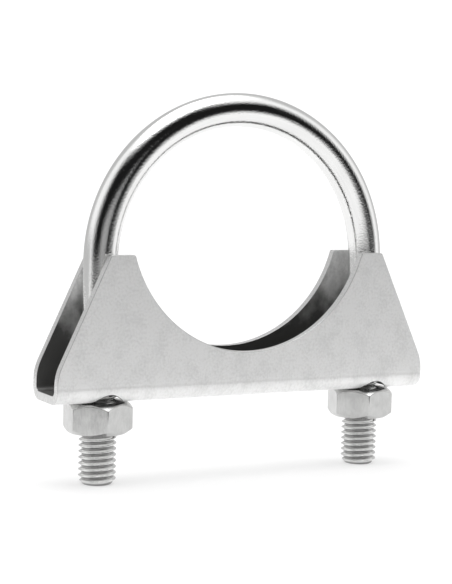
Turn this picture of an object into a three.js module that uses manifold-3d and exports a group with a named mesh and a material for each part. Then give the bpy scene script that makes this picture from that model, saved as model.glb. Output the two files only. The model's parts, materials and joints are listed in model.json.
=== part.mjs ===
// U-bolt clamp: a bent round bolt, a folded sheet saddle that slides on its two legs, and two nuts.
// Millimetres, +Z up. The origin lies on the floor midway between the two bolt tips.
// X runs from leg to leg, Y along the pipe that the clamp holds.
import * as THREE from 'three';
import { mergeVertices } from 'three/addons/utils/BufferGeometryUtils.js';
import Module from 'manifold-3d';

const wasm = await Module();
wasm.setup();

// ---- driving dimensions ----
const pipe = { diameter: 57.2, clearance: 0.3 };       // clearance: pipe to leg, each side
const rod = { diameter: 7.2, sides: 24, steps: 48 };
const thread = { diameter: 8, pitch: 1.25, length: 32, tipChamfer: 0.9, runout: 1.2 };
const bolt = { height: 82.6 };                         // tips to the top of the arch
const saddle = {
  underside: 17.7,                                     // how far the nuts are run up from the tips
  sheet: 1.8,
  bendInner: 1.2,                                      // inside radius of both folds
  neutral: 0.45,                                       // neutral line, as a share of the sheet
  seatFloor: 9.7,                                      // underside to the lowest point of the seat
  seatDepth: 20.9,                                     // lowest point of the seat to the tower tops
  towerTop: 5.4,                                       // flat width on top of each tower
  endMargin: 11.9,                                     // leg centre to the end of the saddle
  endHeight: 6.2,                                      // upright part of each end
  shoulder: 10,                                        // rounding from the upright end to the slope
  towerCorner: 0.6,                                    // rounding of the tower's two top corners
  bendSteps: 5,
  seatSteps: 40,
};
const channelClearance = 0.95;                         // thread to the inside of each wall
const holeClearance = 1.5;                             // thread to the edge of its hole
const nut = {
  acrossFlats: 13, height: 6.5, chamferFace: 12.2, chamferDrop: 0.32,
  boreClearance: 0.12, countersink: 0.35, sides: 48,
  turnLeft: 7, turnRight: 16,                          // degrees, as the spanner left them
};
const seatGap = 0.3;                                   // saddle to the nuts it rests on
const roundSteps = 5;

// ---- sizes that follow ----
const legSpacing = pipe.diameter + 2 * pipe.clearance + rod.diameter;
const legX = legSpacing / 2;
const rodRadius = rod.diameter / 2;
const threadRadius = thread.diameter / 2;
const archCentre = bolt.height - legX - rodRadius;
const channelInside = thread.diameter + 2 * channelClearance;
const halfWidth = channelInside / 2 + saddle.sheet;
const bendOuter = saddle.bendInner + saddle.sheet;
const webHalf = halfWidth - bendOuter;                 // half width of the flat web
const bendNeutral = saddle.bendInner + saddle.neutral * saddle.sheet;
const bendLength = bendNeutral * Math.PI / 2;          // flat length of one fold
const holeRadius = threadRadius + holeClearance;

const steel = (color, roughness) => new THREE.MeshStandardMaterial({ color, roughness, metalness: 1 });
const finishes = {
  bolt: steel(0xc9cbce, 0.22),
  saddle: steel(0xb9bbbd, 0.48),
  nut: steel(0xb2b4b6, 0.38),
};

// ---- solids ----
function toSolid(geometry) {
  const bare = geometry.index ? geometry.toNonIndexed() : geometry.clone();
  bare.deleteAttribute('normal');
  bare.deleteAttribute('uv');
  const merged = mergeVertices(bare, 1e-5);
  const mesh = new wasm.Mesh({
    numProp: 3,
    vertProperties: new Float32Array(merged.attributes.position.array),
    triVerts: new Uint32Array(merged.index.array),
  });
  return new wasm.Manifold(mesh);
}

function toGeometry(solid) {
  const mesh = solid.getMesh();
  const geometry = new THREE.BufferGeometry();
  const positions = new THREE.BufferAttribute(new Float32Array(mesh.vertProperties), 3);
  geometry.setAttribute('position', positions);
  geometry.setIndex(new THREE.BufferAttribute(new Uint32Array(mesh.triVerts), 1));
  geometry.computeVertexNormals();
  return geometry;
}

// a closed profile of [radius, height] pairs turned about Z
function turned(profile, sides) {
  const points = profile.map(([radius, height]) => new THREE.Vector2(radius, height));
  return new THREE.LatheGeometry(points, sides).rotateX(Math.PI / 2);
}

// ---- the bent bolt ----
class UPath extends THREE.Curve {
  constructor(start) {
    super();
    this.leg = archCentre - start;
    this.start = start;
    this.bend = Math.PI * legX;
  }

  getPoint(t, target = new THREE.Vector3()) {
    const along = t * (2 * this.leg + this.bend);
    if (along < this.leg) return target.set(-legX, 0, this.start + along);
    if (along > this.leg + this.bend) {
      return target.set(legX, 0, archCentre - (along - this.leg - this.bend));
    }
    const angle = (along - this.leg) / legX;
    return target.set(-legX * Math.cos(angle), 0, archCentre + legX * Math.sin(angle));
  }
}

function roundSection(radius, sides) {
  const points = [];
  for (let i = 0; i < sides; i += 1) {
    const angle = 2 * Math.PI * i / sides;
    points.push(new THREE.Vector2(radius * Math.cos(angle), radius * Math.sin(angle)));
  }
  return new THREE.Shape(points);
}

// the rolled thread at its outside diameter, with a chamfered tip and a runout into the plain rod
function threadedEnd(x) {
  const inside = rodRadius - 0.2;
  const profile = [
    [0, 0],
    [threadRadius - thread.tipChamfer, 0],
    [threadRadius, thread.tipChamfer],
    [threadRadius, thread.length - thread.runout],
    [inside, thread.length],
    [0, thread.length],
  ];
  return toSolid(turned(profile, rod.sides).translate(x, 0, 0));
}

function boltGeometry() {
  const path = new UPath(thread.length / 2);           // the rod starts inside the threaded ends
  const section = roundSection(rodRadius, rod.sides);
  const options = { steps: rod.steps, extrudePath: path, bevelEnabled: false };
  const bar = toSolid(new THREE.ExtrudeGeometry(section, options));
  return toGeometry(bar.add(threadedEnd(-legX)).add(threadedEnd(legX)));
}

// ---- the folded saddle ----
// corners are [x, height, radius]; each one with a radius becomes an arc
function roundCorners(corners) {
  const points = [];
  corners.forEach(([x, y, radius], i) => {
    const corner = new THREE.Vector2(x, y);
    if (!radius) {
      points.push(corner);
      return;
    }
    const before = new THREE.Vector2(...corners[i - 1].slice(0, 2)).sub(corner).normalize();
    const after = new THREE.Vector2(...corners[i + 1].slice(0, 2)).sub(corner).normalize();
    const half = Math.acos(before.dot(after)) / 2;
    const middle = before.clone().add(after).normalize().multiplyScalar(radius / Math.sin(half));
    const centre = corner.clone().add(middle);
    const first = corner.clone().addScaledVector(before, radius / Math.tan(half)).sub(centre);
    const last = corner.clone().addScaledVector(after, radius / Math.tan(half)).sub(centre);
    const sweep = Math.atan2(first.cross(last), first.dot(last));
    for (let k = 0; k <= roundSteps; k += 1) {
      const turn = first.clone().rotateAround(new THREE.Vector2(), sweep * k / roundSteps);
      points.push(turn.add(centre));
    }
  });
  return points;
}

// one wall seen from the front, heights measured from the saddle's underside
function wallOutline() {
  const seatRadius = pipe.diameter / 2;
  const top = saddle.seatFloor + saddle.seatDepth;
  const seatCentre = saddle.seatFloor + seatRadius;
  const reach = Math.acos((seatCentre - top) / seatRadius);
  const halfSeat = seatRadius * Math.sin(reach);
  const end = legX + saddle.endMargin;
  const corners = [
    [-end, bendOuter, 0],
    [-end, saddle.endHeight, saddle.shoulder],
    [-halfSeat - saddle.towerTop, top, saddle.towerCorner],
    [-halfSeat, top, saddle.towerCorner],
  ];
  for (let i = 1; i < saddle.seatSteps; i += 1) {
    const angle = reach * (2 * i / saddle.seatSteps - 1);
    corners.push([seatRadius * Math.sin(angle), seatCentre - seatRadius * Math.cos(angle), 0]);
  }
  corners.push([halfSeat, top, saddle.towerCorner]);
  corners.push([halfSeat + saddle.towerTop, top, saddle.towerCorner]);
  corners.push([end, saddle.endHeight, saddle.shoulder]);
  corners.push([end, bendOuter, 0]);
  return roundCorners(corners);
}

// the sheet before folding: both walls laid out flat on either side of the web, two holes punched
function blankShape() {
  const flatStart = webHalf + bendLength - bendOuter;  // wall height to distance across the blank
  const wall = wallOutline();
  const upper = wall.map((p) => new THREE.Vector2(p.x, flatStart + p.y));
  const lower = wall.map((p) => new THREE.Vector2(p.x, -flatStart - p.y)).reverse();
  const shape = new THREE.Shape([...upper, ...lower]);
  for (const x of [-legX, legX]) {
    const hole = new THREE.Path();
    hole.absarc(x, 0, holeRadius, 0, 2 * Math.PI, false);
    shape.holes.push(hole);
  }
  return shape;
}

// where a point of the flat blank goes when both walls are folded up
function fold(x, across, depth) {
  const side = Math.sign(across) || 1;
  const distance = Math.abs(across);
  if (distance <= webHalf) return [x, across, depth];
  const angle = Math.min((distance - webHalf) / bendNeutral, Math.PI / 2);
  const radius = bendOuter - depth;
  const wall = Math.max(distance - webHalf - bendLength, 0);
  const y = webHalf + radius * Math.sin(angle);
  return [x, side * y, bendOuter - radius * Math.cos(angle) + wall];
}

function saddleGeometry() {
  const options = { depth: saddle.sheet, bevelEnabled: false, curveSegments: 32 };
  const blank = toSolid(new THREE.ExtrudeGeometry(blankShape(), options));
  const length = 2 * (legX + saddle.endMargin) + 2;
  const far = webHalf + bendLength + saddle.seatFloor + saddle.seatDepth;
  const lines = [webHalf];
  for (let i = 1; i <= saddle.bendSteps; i += 1) {
    lines.push(webHalf + bendLength * i / saddle.bendSteps);
  }
  lines.push(far);
  const cuts = [...lines.map((line) => -line).reverse(), ...lines];
  let folded = null;
  for (let i = 1; i < cuts.length; i += 1) {           // the sheet folds strip by strip
    const width = cuts[i] - cuts[i - 1];
    const box = new THREE.BoxGeometry(length, width, 3 * saddle.sheet);
    const strip = blank.intersect(toSolid(box.translate(0, cuts[i - 1] + width / 2, 0)));
    const bent = toGeometry(strip);
    const position = bent.attributes.position;
    for (let v = 0; v < position.count; v += 1) {
      const near = cuts.find((cut) => Math.abs(cut - position.getY(v)) < 1e-3);
      const across = near ?? position.getY(v);
      const x = Math.round(position.getX(v) * 1e4) / 1e4;
      position.setXYZ(v, ...fold(x, across, position.getZ(v)));
    }
    const piece = toSolid(bent);
    folded = folded ? folded.add(piece) : piece;
  }
  return toGeometry(folded);
}

// ---- the nuts ----
function nutGeometry() {
  const corner = nut.acrossFlats / Math.sqrt(3);
  const prism = new THREE.CylinderGeometry(corner, corner, nut.height, 6).rotateX(Math.PI / 2);
  const body = toSolid(prism.translate(0, 0, -nut.height / 2));
  const face = nut.chamferFace / 2;
  const slope = nut.chamferDrop / (nut.acrossFlats / 2 - face);
  const wide = corner + 1;
  const drop = slope * (wide - face);
  const envelope = toSolid(turned([
    [0, -nut.height],
    [face, -nut.height],
    [wide, -nut.height + drop],
    [wide, -drop],
    [face, 0],
    [0, 0],
  ], nut.sides));
  const bore = threadRadius + nut.boreClearance;
  const mouth = bore + nut.countersink;
  const hole = toSolid(turned([
    [0, -nut.height - 1],
    [mouth + 1, -nut.height - 1],
    [bore, -nut.height + nut.countersink],
    [bore, -nut.countersink],
    [mouth + 1, 1],
    [0, 1],
  ], nut.sides));
  return toGeometry(body.intersect(envelope).subtract(hole));
}

// ---- assembly ----
const clamp = new THREE.Group();

function place(name, geometry, material, x, z, turn) {
  const mesh = new THREE.Mesh(geometry, material);
  mesh.name = name;
  mesh.position.set(x, 0, z);
  mesh.rotation.z = THREE.MathUtils.degToRad(turn);
  clamp.add(mesh);
}

const nutTop = saddle.underside - seatGap;
place('u_bolt', boltGeometry(), finishes.bolt, 0, 0, 0);
place('saddle', saddleGeometry(), finishes.saddle, 0, saddle.underside, 0);
place('nut_left', nutGeometry(), finishes.nut, -legX, nutTop, -nut.turnLeft);
place('nut_right', nutGeometry(), finishes.nut, legX, nutTop, -nut.turnRight);

export default clamp;
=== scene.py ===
# Exhaust clamp: a bent bolt, a folded saddle that slides on its legs, and two nuts.
# Metres, in the CAD frame: X from leg to leg, Y along the pipe, Z up.
import json
import math
import bmesh
import bpy
from mathutils import Matrix, Vector


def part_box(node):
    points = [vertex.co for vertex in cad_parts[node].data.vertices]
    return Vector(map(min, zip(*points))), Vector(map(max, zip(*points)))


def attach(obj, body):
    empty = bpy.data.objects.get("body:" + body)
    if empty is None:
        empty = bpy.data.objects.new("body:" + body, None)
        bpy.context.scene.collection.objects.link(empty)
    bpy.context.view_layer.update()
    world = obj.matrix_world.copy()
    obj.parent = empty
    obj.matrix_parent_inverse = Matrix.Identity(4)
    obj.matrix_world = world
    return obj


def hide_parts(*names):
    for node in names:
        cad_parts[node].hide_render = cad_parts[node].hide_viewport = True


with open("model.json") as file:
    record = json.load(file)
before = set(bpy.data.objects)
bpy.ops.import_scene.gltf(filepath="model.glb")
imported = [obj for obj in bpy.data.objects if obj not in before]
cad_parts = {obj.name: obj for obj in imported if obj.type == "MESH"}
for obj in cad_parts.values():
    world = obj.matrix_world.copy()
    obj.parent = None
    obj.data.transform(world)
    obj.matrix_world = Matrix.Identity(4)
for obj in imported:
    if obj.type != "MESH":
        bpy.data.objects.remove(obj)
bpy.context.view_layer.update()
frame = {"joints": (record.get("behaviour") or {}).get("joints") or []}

mm = 0.001

# where the CAD holds each piece
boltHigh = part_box("u_bolt")[1]
saddleLow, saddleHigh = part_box("saddle")
nutLow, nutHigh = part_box("nut_left")
legX = max(joint["pos_m"][0] for joint in frame["joints"] if joint["type"] == "hinge")
print("frame loaded, legs at", round(legX / mm, 2), "mm")


def smoothMin(a, b, blend):
    # the smaller of the two, rounded over where they are closer than blend
    near = max(blend - abs(a - b), 0) / blend
    return min(a, b) - near * near * blend / 4


def smoothMax(a, b, blend):
    return -smoothMin(-a, -b, blend)


def smoothStep(t):
    t = min(max(t, 0), 1)
    return t * t * (3 - 2 * t)


def roundOff(points, radii, steps):
    # a flat line of points, with each corner that has a radius turned into a short arc
    out = [points[0]]
    for i in range(1, len(points) - 1):
        corner = Vector(points[i])
        if radii[i] == 0:
            out.append(tuple(corner))
            continue
        toBefore = (Vector(points[i - 1]) - corner).normalized()
        toAfter = (Vector(points[i + 1]) - corner).normalized()
        half = toBefore.angle(toAfter) / 2
        centre = corner + (toBefore + toAfter).normalized() * radii[i] / math.sin(half)
        first = corner + toBefore * radii[i] / math.tan(half) - centre
        last = corner + toAfter * radii[i] / math.tan(half) - centre
        sweep = math.atan2(first.cross(last), first.dot(last))
        for k in range(steps + 1):
            turn = Matrix.Rotation(sweep * k / steps, 2)
            out.append(tuple(centre + turn @ first))
    out.append(points[-1])
    return out


def makePiece(name, mesh, body, node, finishes):
    piece = bpy.data.objects.new(name, mesh)
    bpy.context.scene.collection.objects.link(piece)
    for finish in finishes:
        mesh.materials.append(finish)
    mesh.shade_smooth()
    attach(piece, body)
    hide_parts(node)
    print(name, len(mesh.polygons), "faces")
    return piece


def keepFlats(piece):
    # shades the flat faces flat right up to their small roundings
    weighted = piece.modifiers.new("weightedNormals", "WEIGHTED_NORMAL")
    weighted.weight = 80


def paintPoints(mesh, name, values):
    # one number for each vertex, which the finish reads
    attribute = mesh.attributes.new(name, "FLOAT", "POINT")
    attribute.data.foreach_set("value", values)


def newFinish(name, metallic=1):
    finish = bpy.data.materials.new(name)
    finish.use_nodes = True
    tree = finish.node_tree
    shader = tree.nodes["Principled BSDF"]
    shader.inputs["Metallic"].default_value = metallic
    return finish, tree, shader


def addNoise(tree, source, size, detail=2, stretch=(1, 1, 1)):
    # size is one blotch across, and stretch draws it out along each axis
    mapping = tree.nodes.new("ShaderNodeMapping")
    mapping.inputs["Scale"].default_value = [1 / (size * s) for s in stretch]
    tree.links.new(source, mapping.inputs["Vector"])
    noise = tree.nodes.new("ShaderNodeTexNoise")
    noise.inputs["Scale"].default_value = 1
    noise.inputs["Detail"].default_value = detail
    tree.links.new(mapping.outputs["Vector"], noise.inputs["Vector"])
    return noise.outputs["Fac"]


def addRange(tree, source, span, low, high):
    # low at the start of span, high at its end
    ranger = tree.nodes.new("ShaderNodeMapRange")
    ranger.inputs["From Min"].default_value = span[0]
    ranger.inputs["From Max"].default_value = span[1]
    ranger.inputs["To Min"].default_value = low
    ranger.inputs["To Max"].default_value = high
    tree.links.new(source, ranger.inputs["Value"])
    return ranger.outputs["Result"]


def addMath(tree, operation, a, b):
    node = tree.nodes.new("ShaderNodeMath")
    node.operation = operation
    for socket, value in zip(node.inputs, (a, b)):
        if isinstance(value, (int, float)):
            socket.default_value = value
        else:
            tree.links.new(value, socket)
    return node.outputs["Value"]


def addSum(tree, *parts):
    # each part is an output and its weight
    total = None
    for output, weight in parts:
        share = addMath(tree, "MULTIPLY", output, weight)
        total = share if total is None else addMath(tree, "ADD", total, share)
    return total


def addMix(tree, factor, under, over):
    # from under to over by the factor: each is a colour or another output
    mix = tree.nodes.new("ShaderNodeMix")
    mix.data_type = "RGBA"
    for socket, tone in zip((mix.inputs["A"], mix.inputs["B"]), (under, over)):
        if isinstance(tone, tuple):
            socket.default_value = (*tone, 1)
        else:
            tree.links.new(tone, socket)
    tree.links.new(factor, mix.inputs["Factor"])
    return mix.outputs["Result"]


def addBump(tree, shader, height, distance):
    bump = tree.nodes.new("ShaderNodeBump")
    bump.inputs["Distance"].default_value = distance
    tree.links.new(height, bump.inputs["Height"])
    tree.links.new(bump.outputs["Normal"], shader.inputs["Normal"])


def addAttribute(tree, name, output="Vector"):
    node = tree.nodes.new("ShaderNodeAttribute")
    node.attribute_name = name
    return node.outputs[output]


rodLook = {
    "bright": (0.84, 0.84, 0.835),
    "dull": (0.76, 0.76, 0.755),
    # groove: painted shade in the thread roots, darkest at the root
    "groove": (0.16, 0.16, 0.157),
    "grooveSpan": (0.55, 1.05),   # depth in the thread over which the painted shade darkens the tone, 1 at the root
    "grooveShare": 0.8,           # how much of the painted groove shade is there at the root
    "roughness": (0.06, 0.10),
    "threadRoughness": 0.08,      # added in the thread
    "threadSpan": (0, 0.2),
    "streak": 0.35 * mm,
    "streakLength": 40,           # times its width
    "cloud": 5 * mm,
    "cloudLength": 3,
    "shares": (0.5, 0.5),         # of streak and cloud
    "wearSpan": (0.35, 0.65),
    "scratchDepth": 0.004 * mm,
    "ripple": 0.34 * mm,
    "rippleDepth": 0.032 * mm,
}


def makePlatedRod(look):
    finish, tree, shader = newFinish("platedRod")
    drawn = addAttribute(tree, "drawn")
    groove = addAttribute(tree, "groove", "Fac")
    streaks = addNoise(tree, drawn, look["streak"], detail=3, stretch=(1, 1, look["streakLength"]))
    clouds = addNoise(tree, drawn, look["cloud"], stretch=(1, 1, look["cloudLength"]))
    wear = addSum(tree, *zip((streaks, clouds), look["shares"]))
    tone = addMix(tree, addRange(tree, wear, look["wearSpan"], 0, 1), look["dull"], look["bright"])
    # painted shade: the tone darkens into the thread roots
    grooveShade = addRange(tree, groove, look["grooveSpan"], 0, look["grooveShare"])
    tree.links.new(addMix(tree, grooveShade, tone, look["groove"]), shader.inputs["Base Color"])
    smooth, dull = look["roughness"]
    base = addRange(tree, wear, look["wearSpan"], dull, smooth)
    inThread = addRange(tree, groove, look["threadSpan"], 0, 1)
    extra = addMath(tree, "MULTIPLY", inThread, look["threadRoughness"])
    tree.links.new(addMath(tree, "ADD", base, extra), shader.inputs["Roughness"])
    ripple = addNoise(tree, drawn, look["ripple"])
    relief = addSum(tree, (ripple, look["rippleDepth"] / look["scratchDepth"]), (streaks, 1))
    addBump(tree, shader, relief, look["scratchDepth"])
    return finish


sheetLook = {
    "bright": (1.0, 1.0, 0.995),
    "dull": (0.86, 0.86, 0.855),
    # inside: painted shade on the channel's inside faces
    "inside": (0.14, 0.14, 0.137),
    "metallic": 0.50,
    "roughness": (0.38, 0.54),
    "shadeDepth": 1.75 * mm,       # depth from the outside face
    "shadeFull": 17 * mm,          # distance from the middle of the web
    "shadeGone": 31 * mm,
    "shadeRagged": 22 * mm,        # how far blotches push its border about
    "mottle": 4.5 * mm,
    "mottleStretch": (1, 1.3, 1),
    "speckle": 0.55 * mm,
    "grain": 0.20 * mm,
    "grainStretch": (1, 8, 1),
    "shares": (0.45, 0.4, 0.15),  # of mottle, speckle and grain in the tone
    "reliefShares": (0.6, 0.8),   # of grain and speckle in the relief
    "toneSpan": (0.40, 0.56),
    "roughnessSpan": (0.36, 0.64),
    "grainDepth": 0.012 * mm,
}


def makeGalvanisedSheet(look):
    finish, tree, shader = newFinish("galvanisedSheet", look["metallic"])
    blank = addAttribute(tree, "blank")
    mottle = addNoise(tree, blank, look["mottle"], detail=5, stretch=look["mottleStretch"])
    grain = addNoise(tree, blank, look["grain"], stretch=look["grainStretch"])
    speckle = addNoise(tree, blank, look["speckle"], detail=3)
    both = addSum(tree, *zip((mottle, speckle, grain), look["shares"]))
    tone = addMix(tree, addRange(tree, both, look["toneSpan"], 0, 1), look["dull"], look["bright"])
    # painted shade: the inside of the channel is painted dark, thinner towards the tower tops
    axes = tree.nodes.new("ShaderNodeSeparateXYZ")
    tree.links.new(blank, axes.inputs["Vector"])
    outFromWeb = addMath(tree, "ABSOLUTE", axes.outputs["Y"], 0)
    centred = addMath(tree, "SUBTRACT", mottle, 0.5)
    blotches = addMath(tree, "MULTIPLY", centred, look["shadeRagged"])
    border = addMath(tree, "ADD", outFromWeb, blotches)
    channelShade = addRange(tree, border, (look["shadeFull"], look["shadeGone"]), 1, 0)
    inside = addMath(tree, "GREATER_THAN", axes.outputs["Z"], look["shadeDepth"])
    channelShade = addMath(tree, "MULTIPLY", channelShade, inside)
    tree.links.new(addMix(tree, channelShade, tone, look["inside"]), shader.inputs["Base Color"])
    smooth, dull = look["roughness"]
    roughness = addRange(tree, both, look["roughnessSpan"], dull, smooth)
    tree.links.new(roughness, shader.inputs["Roughness"])
    relief = addSum(tree, *zip((grain, speckle), look["reliefShares"]))
    addBump(tree, shader, relief, look["grainDepth"])
    return finish


edgeLook = {
    "bright": (0.78, 0.78, 0.775),
    "dull": (0.60, 0.60, 0.595),
    "roughness": (0.28, 0.46),
    "metallic": 0.9,
    "score": 0.16 * mm,
    "scoreLength": 5,             # through the sheet, times its width
    "scoreSpan": (0.3, 0.7),
    "scoreDepth": 0.012 * mm,
}
# painted shade: the punched holes' cut faces are painted near black
holeShadeLook = {
    **edgeLook,
    "bright": (0.16, 0.16, 0.157),
    "dull": (0.05, 0.05, 0.049),
    "roughness": (0.30, 0.48),
    "metallic": 1,
}


def makeCutEdge(name, look):
    finish, tree, shader = newFinish(name, look["metallic"])
    blank = addAttribute(tree, "blank")
    scores = addNoise(tree, blank, look["score"], detail=3, stretch=(1, 1, look["scoreLength"]))
    span = look["scoreSpan"]
    tone = addMix(tree, addRange(tree, scores, span, 0, 1), look["dull"], look["bright"])
    tree.links.new(tone, shader.inputs["Base Color"])
    smooth, dull = look["roughness"]
    tree.links.new(addRange(tree, scores, span, dull, smooth), shader.inputs["Roughness"])
    addBump(tree, shader, scores, look["scoreDepth"])
    return finish


nutLook = {
    "bright": (0.575, 0.575, 0.57),
    "dull": (0.505, 0.505, 0.50),
    # bore: painted shade inside the bore and countersinks
    "bore": (0.10, 0.10, 0.098),
    "roughness": (0.17, 0.22),
    "cloud": 3 * mm,
    "speckle": 0.35 * mm,
    "speckleLength": 3,
    "shares": (0.6, 0.4),         # of cloud and speckle
    "wearSpan": (0.36, 0.64),
    "reliefDepth": 0.0015 * mm,
}


def makePlatedNut(look):
    finish, tree, shader = newFinish("platedNut")
    place = tree.nodes.new("ShaderNodeTexCoord").outputs["Object"]
    cloud = addNoise(tree, place, look["cloud"])
    speckle = addNoise(tree, place, look["speckle"], stretch=(1, 1, look["speckleLength"]))
    both = addSum(tree, *zip((cloud, speckle), look["shares"]))
    tone = addMix(tree, addRange(tree, both, look["wearSpan"], 0, 1), look["dull"], look["bright"])
    # painted shade: the bore and countersinks darken to the bore tone
    bore = addAttribute(tree, "bore", "Fac")
    tree.links.new(addMix(tree, bore, tone, look["bore"]), shader.inputs["Base Color"])
    smooth, dull = look["roughness"]
    tree.links.new(addRange(tree, both, look["wearSpan"], dull, smooth), shader.inputs["Roughness"])
    addBump(tree, shader, both, look["reliefDepth"])
    return finish


bolt = {
    "rodRadius": 3.6 * mm,
    "threadRadius": 4 * mm,
    "rootRadius": 3.25 * mm,
    "pitch": 1.25 * mm,
    "threadLength": 32 * mm,
    "runout": 1.8 * mm,
    "crestFlat": 1 / 8,           # share of the pitch
    "crestRounding": 0.14 * mm,
    "rootRounding": 0.16 * mm,
    "tipRadius": 3.1 * mm,        # at the very end, below a 45 degree chamfer
    "tipRounding": 0.12 * mm,
    "tipBlend": 0.1 * mm,         # between the chamfer and the thread
    "tipDish": 0.18 * mm,         # depth in the middle of the cut end
    "tipRings": ((0.7, 0.10 * mm), (0.35, 0.16 * mm)),    # share of the radius, and depth there
    "around": 60,
    "rowsPerPitch": 16,
    "plainRows": 8,
    "archRows": 120,
}
archCentre = boltHigh.z - legX - bolt["rodRadius"]


def threadRadius(z, angle, b):
    # right-hand thread with 60 degree flanks, rolled round at crest and root
    pitch = b["pitch"]
    place = (z / pitch - angle / (2 * math.pi)) % 1
    fromCrest = min(place, 1 - place) * pitch
    flank = b["threadRadius"] - (fromCrest - pitch * b["crestFlat"] / 2) * math.sqrt(3)
    radius = smoothMin(b["threadRadius"], flank, b["crestRounding"])
    return smoothMax(radius, b["rootRadius"], b["rootRounding"])


def boltRadius(z, angle, b):
    if z >= b["threadLength"]:
        return b["rodRadius"]
    fade = smoothStep((b["threadLength"] - z) / b["runout"])
    radius = b["rodRadius"] + (threadRadius(z, angle, b) - b["rodRadius"]) * fade
    return smoothMin(radius, b["tipRadius"] + max(z - b["tipRounding"], 0), b["tipBlend"])


def boltStations(b):
    # distances along the centre line at which a ring of vertices sits
    step = b["pitch"] / b["rowsPerPitch"]
    rows = [step * i for i in range(1, int(b["threadLength"] / step) + 1)]
    plain = archCentre - b["threadLength"]
    rows += [b["threadLength"] + plain * i / b["plainRows"] for i in range(1, b["plainRows"] + 1)]
    bend = math.pi * legX
    arch = [archCentre + bend * i / b["archRows"] for i in range(1, b["archRows"])]
    length = 2 * archCentre + bend
    return [0.0] + rows + arch + [length - row for row in reversed(rows)] + [length], length


def boltPoint(along, length):
    # centre, outward direction and height above the nearer tip
    bend = math.pi * legX
    if along <= archCentre:
        return Vector((-legX, 0, along)), Vector((-1, 0, 0)), along
    if along >= archCentre + bend:
        return Vector((legX, 0, length - along)), Vector((1, 0, 0)), length - along
    turn = (along - archCentre) / legX
    outward = Vector((-math.cos(turn), 0, math.sin(turn)))
    return Vector((0, 0, archCentre)) + outward * legX, outward, archCentre


def closeTip(points, drawn, faces, start, flip, b):
    # the cut end of the rod, dished a little by the shear: start is the first vertex of its rim
    around = b["around"]
    tipX = math.copysign(legX, points[start].x)
    rings = [[start + j for j in range(around)]]
    for share, dish in b["tipRings"]:
        rings.append([len(points) + j for j in range(around)])
        for rim in points[start:start + around]:
            points.append(Vector((tipX + (rim.x - tipX) * share, rim.y * share, dish)))
            drawn.append((rim.x * share, rim.y * share, 0))
    middle = len(points)
    points.append(Vector((tipX, 0, b["tipDish"])))
    drawn.append((0, 0, 0))
    for outer, inner in zip(rings, rings[1:]):
        for j in range(around):
            k = (j + 1) % around
            quad = (outer[j], inner[j], inner[k], outer[k])
            faces.append(quad if flip else quad[::-1])
    for j in range(around):
        fan = (rings[-1][j], middle, rings[-1][(j + 1) % around])
        faces.append(fan if flip else fan[::-1])


def makeBolt(b, finish):
    stations, length = boltStations(b)
    depth = Vector((0, 1, 0))
    around = b["around"]
    points, drawn, groove, faces = [], [], [], []
    for along in stations:
        centre, outward, z = boltPoint(along, length)
        for j in range(around):
            phi = 2 * math.pi * j / around
            side = outward * math.cos(phi) + depth * math.sin(phi)
            radius = boltRadius(z, math.atan2(side.y, side.x), b)
            if along in (0.0, length):
                radius = b["tipRadius"] - b["tipRounding"]
            points.append(centre + side * radius)
            drawn.append((math.cos(phi) * b["rodRadius"], math.sin(phi) * b["rodRadius"], along))
            hollow = (b["threadRadius"] - radius) / (b["threadRadius"] - b["rootRadius"])
            groove.append(hollow if z < b["threadLength"] - b["runout"] else 0)
    last = (len(stations) - 1) * around
    for ring in range(0, last, around):
        for j in range(around):
            k = (j + 1) % around
            faces.append((ring + j, ring + around + j, ring + around + k, ring + k))
    closeTip(points, drawn, faces, 0, False, b)
    closeTip(points, drawn, faces, last, True, b)
    groove += [0] * (len(points) - len(groove))

    mesh = bpy.data.meshes.new("bentBolt")
    mesh.from_pydata(points, [], faces)
    alongRod = mesh.attributes.new("drawn", "FLOAT_VECTOR", "POINT")
    alongRod.data.foreach_set("vector", [number for place in drawn for number in place])
    paintPoints(mesh, "groove", groove)
    makePiece("bentBolt", mesh, "bent_bolt", "u_bolt", [finish])


saddle = {
    "sheet": 1.8 * mm,
    "bendInner": 1.2 * mm,
    "neutral": 0.45,              # share of the sheet, from the inside of the bend
    "seatFloor": 9.7 * mm,        # lowest point of the pipe seat above the underside
    "seatRadius": 28.6 * mm,
    "towerTop": 5.4 * mm,
    "endHeight": 6.2 * mm,        # where the upright end turns into the slope
    "shoulder": 10 * mm,          # radius of that turn
    "towerCorner": 0.5 * mm,
    "holeRadius": 5.5 * mm,
    "holeDrawn": 0.5 * mm,        # the bend draws each hole open by this much at the folds
    "dieRoll": 0.14 * mm,         # rounding of the sheared edge on the outside face
    "burrSide": 0.07 * mm,        # and on the inside face
    "dieMark": 0.016 * mm,        # shallow line that the press leaves above each fold
    "dieMarkWidth": 0.25 * mm,
    "dieMarkAbove": 2,            # widths from the end of the fold to the middle of the line
    "seatSteps": 96,
    "cornerSteps": 8,
    "edgeSteps": 4,
    "holeSteps": 72,
    "bendSteps": 10,
    "dieMarkSteps": 8,
    "weld": 0.001 * mm,           # points of the cut blank closer than this are one
}


def saddleSizes(s):
    s["bendOuter"] = s["bendInner"] + s["sheet"]
    s["webHalf"] = saddleHigh.y - s["bendOuter"]
    s["bendNeutral"] = s["bendInner"] + s["neutral"] * s["sheet"]
    s["bendLength"] = s["bendNeutral"] * math.pi / 2
    s["top"] = saddleHigh.z - saddleLow.z
    s["end"] = saddleHigh.x


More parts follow.
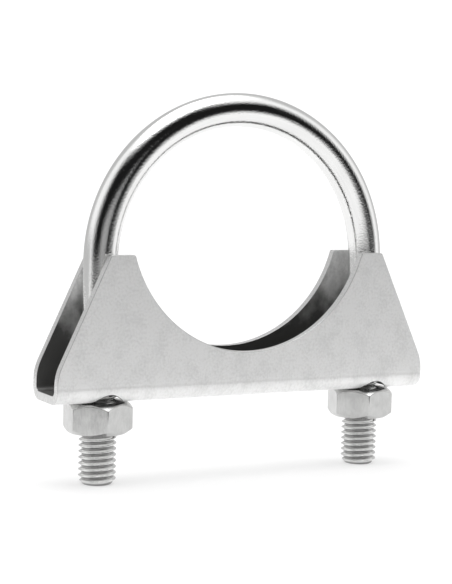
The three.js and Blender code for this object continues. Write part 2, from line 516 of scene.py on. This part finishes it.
def wallOutline(s):
    # one wall from the front, from its left end over both towers to its right end
    seatCentre = s["seatFloor"] + s["seatRadius"]
    reach = math.acos((seatCentre - s["top"]) / s["seatRadius"])
    halfSeat = s["seatRadius"] * math.sin(reach)
    left = [
        (-s["end"], s["bendOuter"]),
        (-s["end"], s["endHeight"]),
        (-halfSeat - s["towerTop"], s["top"]),
        (-halfSeat, s["top"]),
    ]
    seat = []
    for i in range(1, s["seatSteps"]):
        angle = reach * (2 * i / s["seatSteps"] - 1)
        x = s["seatRadius"] * math.sin(angle)
        seat.append((x, seatCentre - s["seatRadius"] * math.cos(angle)))
    right = [(-x, y) for x, y in reversed(left)]
    radii = [0, s["shoulder"], s["towerCorner"], s["towerCorner"]]
    return roundOff(left + seat + right, radii + [0] * len(seat) + radii[::-1], s["cornerSteps"])


def offsetLoop(loop, distance):
    # moves a closed outline into its own material, square to the outline
    out = []
    for i, point in enumerate(loop):
        before = (point - loop[i - 1]).normalized()
        after = (loop[(i + 1) % len(loop)] - point).normalized()
        inward = Vector((-before.y - after.y, before.x + after.x)).normalized()
        spread = inward.dot(Vector((-before.y, before.x)))
        out.append(point + inward * distance / spread)
    return out


def edgeProfile(s):
    # how far in from the outline, and how deep from the outside face
    points = [(s["sheet"], 0), (0, 0), (0, s["sheet"]), (s["sheet"], s["sheet"])]
    return roundOff(points, [0, s["dieRoll"], s["burrSide"], 0], s["edgeSteps"])[1:-1]


def foldPoint(flat, s):
    # where a point of the flat blank goes once both walls are folded up
    side = math.copysign(1, flat.y)
    distance = abs(flat.y)
    if distance <= s["webHalf"]:
        return Vector((flat.x, flat.y, saddleLow.z + flat.z))
    angle = min((distance - s["webHalf"]) / s["bendNeutral"], math.pi / 2)
    fromMark = (distance - s["webHalf"] - s["bendLength"]) / s["dieMarkWidth"] - s["dieMarkAbove"]
    pressed = s["dieMark"] * math.exp(-fromMark ** 2) if flat.z < s["sheet"] / 2 else 0
    radius = s["bendOuter"] - flat.z - pressed
    wall = max(distance - s["webHalf"] - s["bendLength"], 0)
    y = s["webHalf"] + radius * math.sin(angle)
    z = saddleLow.z + s["bendOuter"] - radius * math.cos(angle) + wall
    return Vector((flat.x, side * y, z))


def makeSaddle(s, finishes):
    saddleSizes(s)
    flatStart = s["webHalf"] + s["bendLength"] - s["bendOuter"]
    wall = wallOutline(s)
    upper = [Vector((x, flatStart + y)) for x, y in wall]
    lower = [Vector((x, -flatStart - y)) for x, y in wall]
    loops = [lower + upper[::-1]]        # the outline runs one way round, the holes the other
    for x in (-legX, legX):
        hole = []
        for i in range(s["holeSteps"]):
            angle = -2 * math.pi * i / s["holeSteps"]
            y = s["holeRadius"] * math.sin(angle)
            past = max(abs(y) - s["webHalf"], 0) / (s["holeRadius"] - s["webHalf"])
            y += math.copysign(s["holeDrawn"] * past, y)
            hole.append(Vector((x + s["holeRadius"] * math.cos(angle), y)))
        loops.append(hole)

    bm = bmesh.new()
    profile = edgeProfile(s)
    firstEdges, lastEdges = [], []
    for kind, loop in enumerate(loops):
        rings = []
        for inset, depth in profile:
            rings.append([bm.verts.new((p.x, p.y, depth)) for p in offsetLoop(loop, inset)])
        count = len(loop)
        for ring, after in zip(rings, rings[1:]):
            for j in range(count):
                k = (j + 1) % count
                strip = bm.faces.new((ring[j], ring[k], after[k], after[j]))
                strip.material_index = 2 if kind else 1     # punched holes, or the sheared outline
        for ring, edges in ((rings[0], firstEdges), (rings[-1], lastEdges)):
            edges.extend(bm.edges.get((ring[j], ring[(j + 1) % count])) for j in range(count))
    for edges in (firstEdges, lastEdges):
        bmesh.ops.triangle_fill(bm, edges=edges, use_beauty=True)
    bmesh.ops.recalc_face_normals(bm, faces=bm.faces)

    folds = [s["webHalf"] + s["bendLength"] * i / s["bendSteps"] for i in range(s["bendSteps"] + 1)]
    folds += [folds[-1] + s["dieMarkWidth"] * k / 2 for k in range(1, s["dieMarkSteps"] + 1)]
    for line in folds + [-fold for fold in folds]:
        everything = bm.verts[:] + bm.edges[:] + bm.faces[:]
        bmesh.ops.bisect_plane(
            bm, geom=everything, dist=s["weld"], plane_co=(0, line, 0), plane_no=(0, 1, 0)
        )
    flat = bm.verts.layers.float_vector.new("blank")
    for v in bm.verts:
        v[flat] = v.co
        v.co = foldPoint(v.co, s)
    mesh = bpy.data.meshes.new("foldedSaddle")
    bm.to_mesh(mesh)
    bm.free()
    piece = makePiece("foldedSaddle", mesh, "saddle_body", "saddle", finishes)
    keepFlats(piece)


nuts = {
    "acrossFlats": 13 * mm,
    "cornerRadius": 0.35 * mm,
    "chamferFace": 6.1 * mm,      # radius of the flat face inside the chamfer
    "chamferSlope": 0.8,
    "mouth": 4.4 * mm,            # radius of the countersink at the face
    "mouthDepth": 0.3 * mm,
    "mouthBlend": 0.1 * mm,
    "mouthRounding": 0.10 * mm,
    "chamferRounding": 0.16 * mm,
    "clearance": 0.09 * mm,
    "boreMinimum": 3.4 * mm,
    "flatSteps": 10,
    "cornerSteps": 4,
    "roundingSteps": 3,
    "left": {
        "name": "leftNut",
        "node": "nut_left",
        "body": "left_nut_body",
        "x": -legX,
        "turn": -7,               # of its corners, degrees
    },
    "right": {
        "name": "rightNut",
        "node": "nut_right",
        "body": "right_nut_body",
        "x": legX,
        "turn": -16,
    },
}


def hexRadii(n):
    # angle and radius of the rounded hexagon, a corner first
    half = math.radians(30)
    flat = n["acrossFlats"] / 2
    middle = (flat - n["cornerRadius"]) / math.cos(half)
    rim = middle + n["cornerRadius"] * math.cos(half)
    edge = math.atan2(n["cornerRadius"] * math.sin(half), rim)
    out = []
    for side in range(6):
        corner = math.radians(-90 + 60 * side)
        for k in range(n["cornerSteps"]):
            phi = edge * (2 * k / n["cornerSteps"] - 1)
            reach = math.sqrt(n["cornerRadius"] ** 2 - (middle * math.sin(phi)) ** 2)
            out.append((corner + phi, middle * math.cos(phi) + reach))
        for k in range(n["flatSteps"]):
            delta = (half - edge) * (2 * k / n["flatSteps"] - 1)
            out.append((corner + half + delta, flat / math.cos(delta)))
    return out


def nutColumn(radius, n):
    # the outside of the nut at one corner or flat, from the top of the bore round to its bottom
    drop = n["chamferSlope"] * (radius - n["chamferFace"])
    middle = (nutHigh.z + nutLow.z) / 2
    points = [
        (n["mouth"] - n["mouthDepth"], nutHigh.z - n["mouthDepth"]),
        (n["mouth"], nutHigh.z),
        (n["chamferFace"], nutHigh.z),
        (radius, nutHigh.z - drop),
        (radius, middle),
        (radius, nutLow.z + drop),
        (n["chamferFace"], nutLow.z),
        (n["mouth"], nutLow.z),
        (n["mouth"] - n["mouthDepth"], nutLow.z + n["mouthDepth"]),
    ]
    small, large = n["mouthRounding"], n["chamferRounding"]
    radii = [0, small, large, large, 0, large, large, small, 0]
    return roundOff(points, radii, n["roundingSteps"])


def makeNut(n, which, b, finish):
    who = n[which]
    turn = math.radians(who["turn"])
    rows = int((nutHigh.z - nutLow.z - 2 * n["mouthDepth"]) / b["pitch"] * b["rowsPerPitch"])
    points, faces, bore = [], [], []
    columns = hexRadii(n)
    for angle, radius in columns:
        angle += turn
        column = nutColumn(radius, n)
        low, high = column[-1][1], column[0][1]
        for k in range(1, rows):
            z = low + (high - low) * k / rows
            thread = max(threadRadius(z, angle, b) + n["clearance"], n["boreMinimum"])
            mouth = n["mouth"] - min(nutHigh.z - z, z - nutLow.z)
            column.append((smoothMax(thread, mouth, n["mouthBlend"]), z))
        for r, z in column:
            points.append((who["x"] + r * math.cos(angle), r * math.sin(angle), z))
            # marks the bore and countersinks for their painted shade
            bore.append(1 if r < n["mouth"] - n["mouthRounding"] else 0)
    size = len(points) // len(columns)
    for i in range(len(columns)):
        for k in range(size):
            a = i * size
            c = ((i + 1) % len(columns)) * size
            faces.append((a + k, a + (k + 1) % size, c + (k + 1) % size, c + k))
    mesh = bpy.data.meshes.new(who["name"])
    mesh.from_pydata(points, [], faces)
    paintPoints(mesh, "bore", bore)
    piece = makePiece(who["name"], mesh, who["body"], who["node"], [finish])
    keepFlats(piece)


makeBolt(bolt, makePlatedRod(rodLook))
sheetFinishes = [
    makeGalvanisedSheet(sheetLook),
    makeCutEdge("shearedEdge", edgeLook),
    # the punched holes carry painted shade
    makeCutEdge("punchedHoleShade", holeShadeLook),
]
makeSaddle(saddle, sheetFinishes)
platedNut = makePlatedNut(nutLook)
for which in ("left", "right"):
    makeNut(nuts, which, bolt, platedNut)


studio = {
    "floorRadius": 0.32,
    "floorSteps": 96,
    "floorBehind": 0.18,          # the table reaches further behind the clamp than in front of it
    "floorTone": 0.48,
    "floorRoughness": 0.9,
    "floorGloss": 0.1,
    "floorGlow": 0.55,            # the table top is lit from below too
    "around": 1.12,               # the white tent round the clamp
    "overhead": 3.2,
    "behind": 0.62,               # wall behind the clamp, as the metal sees it
    "backdrop": 1.15,             # the same wall, as the camera sees it
    "frontAzimuth": -28.26,       # where the dark front is, from -Y towards -X
    "frontTone": 0.012,
    "figureTone": 0.40,           # a grey shape low in front of it
    # each card's left, right, bottom and top, as the degrees over which it fades in or out
    "backWall": ((105, 140), (189, 190), (-91, -90), (45, 58)),     # on both sides alike
    "cards": (
        ("behind", ((-191, -190), (-125, -100), (-24, -14), (44, 58))),
        ("behind", ((-191, -190), (-80, -66), (-24, -14), (0, 16))),
        ("frontTone", ((-80, -34), (44, 66), (-22, 2), (42, 70))),
        ("frontTone", ((20, 40), (70, 98), (-22, 2), (31, 56))),
        ("figureTone", ((-20, 12), (24, 44), (-8, -2), (9, 20))),
        ("overhead", ((-191, -190), (190, 191), (55, 70), (91, 92))),
    ),
}


def makeFloor(s):
    bm = bmesh.new()
    bmesh.ops.create_circle(bm, cap_ends=True, segments=s["floorSteps"], radius=s["floorRadius"])
    mesh = bpy.data.meshes.new("floor")
    bm.to_mesh(mesh)
    bm.free()
    floor = bpy.data.objects.new("floor", mesh)
    away = math.radians(-s["frontAzimuth"])
    floor.location = (math.sin(away) * s["floorBehind"], math.cos(away) * s["floorBehind"], 0)
    bpy.context.scene.collection.objects.link(floor)
    paper = bpy.data.materials.new("whitePaper")
    paper.use_nodes = True
    shader = paper.node_tree.nodes["Principled BSDF"]
    shader.inputs["Base Color"].default_value = (s["floorTone"],) * 3 + (1,)
    shader.inputs["Roughness"].default_value = s["floorRoughness"]
    shader.inputs["Specular IOR Level"].default_value = s["floorGloss"]
    shader.inputs["Emission Color"].default_value = (1, 1, 1, 1)
    shader.inputs["Emission Strength"].default_value = s["floorGlow"]
    mesh.materials.append(paper)


def addFade(tree, source, start, end):
    # 0 at start, 1 at end, eased
    fade = tree.nodes.new("ShaderNodeMapRange")
    fade.interpolation_type = "SMOOTHSTEP"
    fade.inputs["From Min"].default_value = start
    fade.inputs["From Max"].default_value = end
    tree.links.new(source, fade.inputs["Value"])
    return fade.outputs["Result"]


def addCard(tree, level, azimuth, elevation, sides, tone):
    # one soft-edged card in the panorama, over the level that is there already
    left, right, bottom, top = [(math.radians(a), math.radians(b)) for a, b in sides]
    mask = addFade(tree, azimuth, *left)
    for source, ends in ((azimuth, right[::-1]), (elevation, bottom), (elevation, top[::-1])):
        mask = addMath(tree, "MULTIPLY", mask, addFade(tree, source, *ends))
    mix = tree.nodes.new("ShaderNodeMix")
    mix.data_type = "FLOAT"
    tree.links.new(mask, mix.inputs["Factor"])
    if isinstance(level, float):
        mix.inputs["A"].default_value = level
    else:
        tree.links.new(level, mix.inputs["A"])
    mix.inputs["B"].default_value = tone
    return mix.outputs["Result"]


def makeStudioLight(s):
    world = bpy.data.worlds.new("studio")
    bpy.context.scene.world = world
    world.use_nodes = True
    tree = world.node_tree
    tree.nodes.clear()
    direction = tree.nodes.new("ShaderNodeTexCoord").outputs["Generated"]
    turn = tree.nodes.new("ShaderNodeMapping")
    turn.inputs["Rotation"].default_value = (0, 0, math.radians(-s["frontAzimuth"]))
    tree.links.new(direction, turn.inputs["Vector"])
    axes = tree.nodes.new("ShaderNodeSeparateXYZ")
    tree.links.new(turn.outputs["Vector"], axes.inputs["Vector"])
    elevation = addMath(tree, "ARCSINE", axes.outputs["Z"], 0)
    front = addMath(tree, "MULTIPLY", axes.outputs["Y"], -1)
    azimuth = addMath(tree, "ARCTAN2", axes.outputs["X"], front)    # 0 in front, plus to the right
    beside = addMath(tree, "ABSOLUTE", azimuth, 0)
    level = addCard(tree, s["around"], beside, elevation, s["backWall"], s["behind"])
    for tone, sides in s["cards"]:
        level = addCard(tree, level, azimuth, elevation, sides, s[tone])
    light = tree.nodes.new("ShaderNodeBackground")
    tree.links.new(level, light.inputs["Color"])
    plain = tree.nodes.new("ShaderNodeBackground")
    plain.inputs["Color"].default_value = (s["backdrop"],) * 3 + (1,)
    seen = tree.nodes.new("ShaderNodeLightPath").outputs["Is Camera Ray"]
    pick = tree.nodes.new("ShaderNodeMixShader")
    tree.links.new(seen, pick.inputs["Fac"])
    tree.links.new(light.outputs["Background"], pick.inputs[1])
    tree.links.new(plain.outputs["Background"], pick.inputs[2])
    out = tree.nodes.new("ShaderNodeOutputWorld")
    tree.links.new(pick.outputs["Shader"], out.inputs["Surface"])
    bpy.context.scene.view_settings.view_transform = "Standard"


view = {
    "target": (-2.8 * mm, 0, 39.7 * mm),
    "distance": 342.2 * mm,
    "azimuth": -28.26,            # to the left of straight on, degrees
    "elevation": 4.78,
    "roll": 1.39,
    "lens": 97.4,
    "sensor": 36,
    "nearest": 10 * mm,
}


def makeCamera(v):
    data = bpy.data.cameras.new("camera")
    data.lens = v["lens"]
    data.sensor_width = v["sensor"]
    data.clip_start = v["nearest"]
    camera = bpy.data.objects.new("camera", data)
    bpy.context.scene.collection.objects.link(camera)
    az, el = math.radians(v["azimuth"]), math.radians(v["elevation"])
    back = Vector((math.sin(az) * math.cos(el), -math.cos(az) * math.cos(el), math.sin(el)))
    right = Vector((math.cos(az), math.sin(az), 0))
    up = back.cross(right)
    level = Matrix((right, up, back)).transposed()
    turned = level @ Matrix.Rotation(math.radians(v["roll"]), 3, "Z")
    place = Matrix.Translation(Vector(v["target"]) + back * v["distance"])
    camera.matrix_world = place @ turned.to_4x4()
    bpy.context.scene.camera = camera


makeFloor(studio)
makeStudioLight(studio)
makeCamera(view)
print("table, light and camera placed")
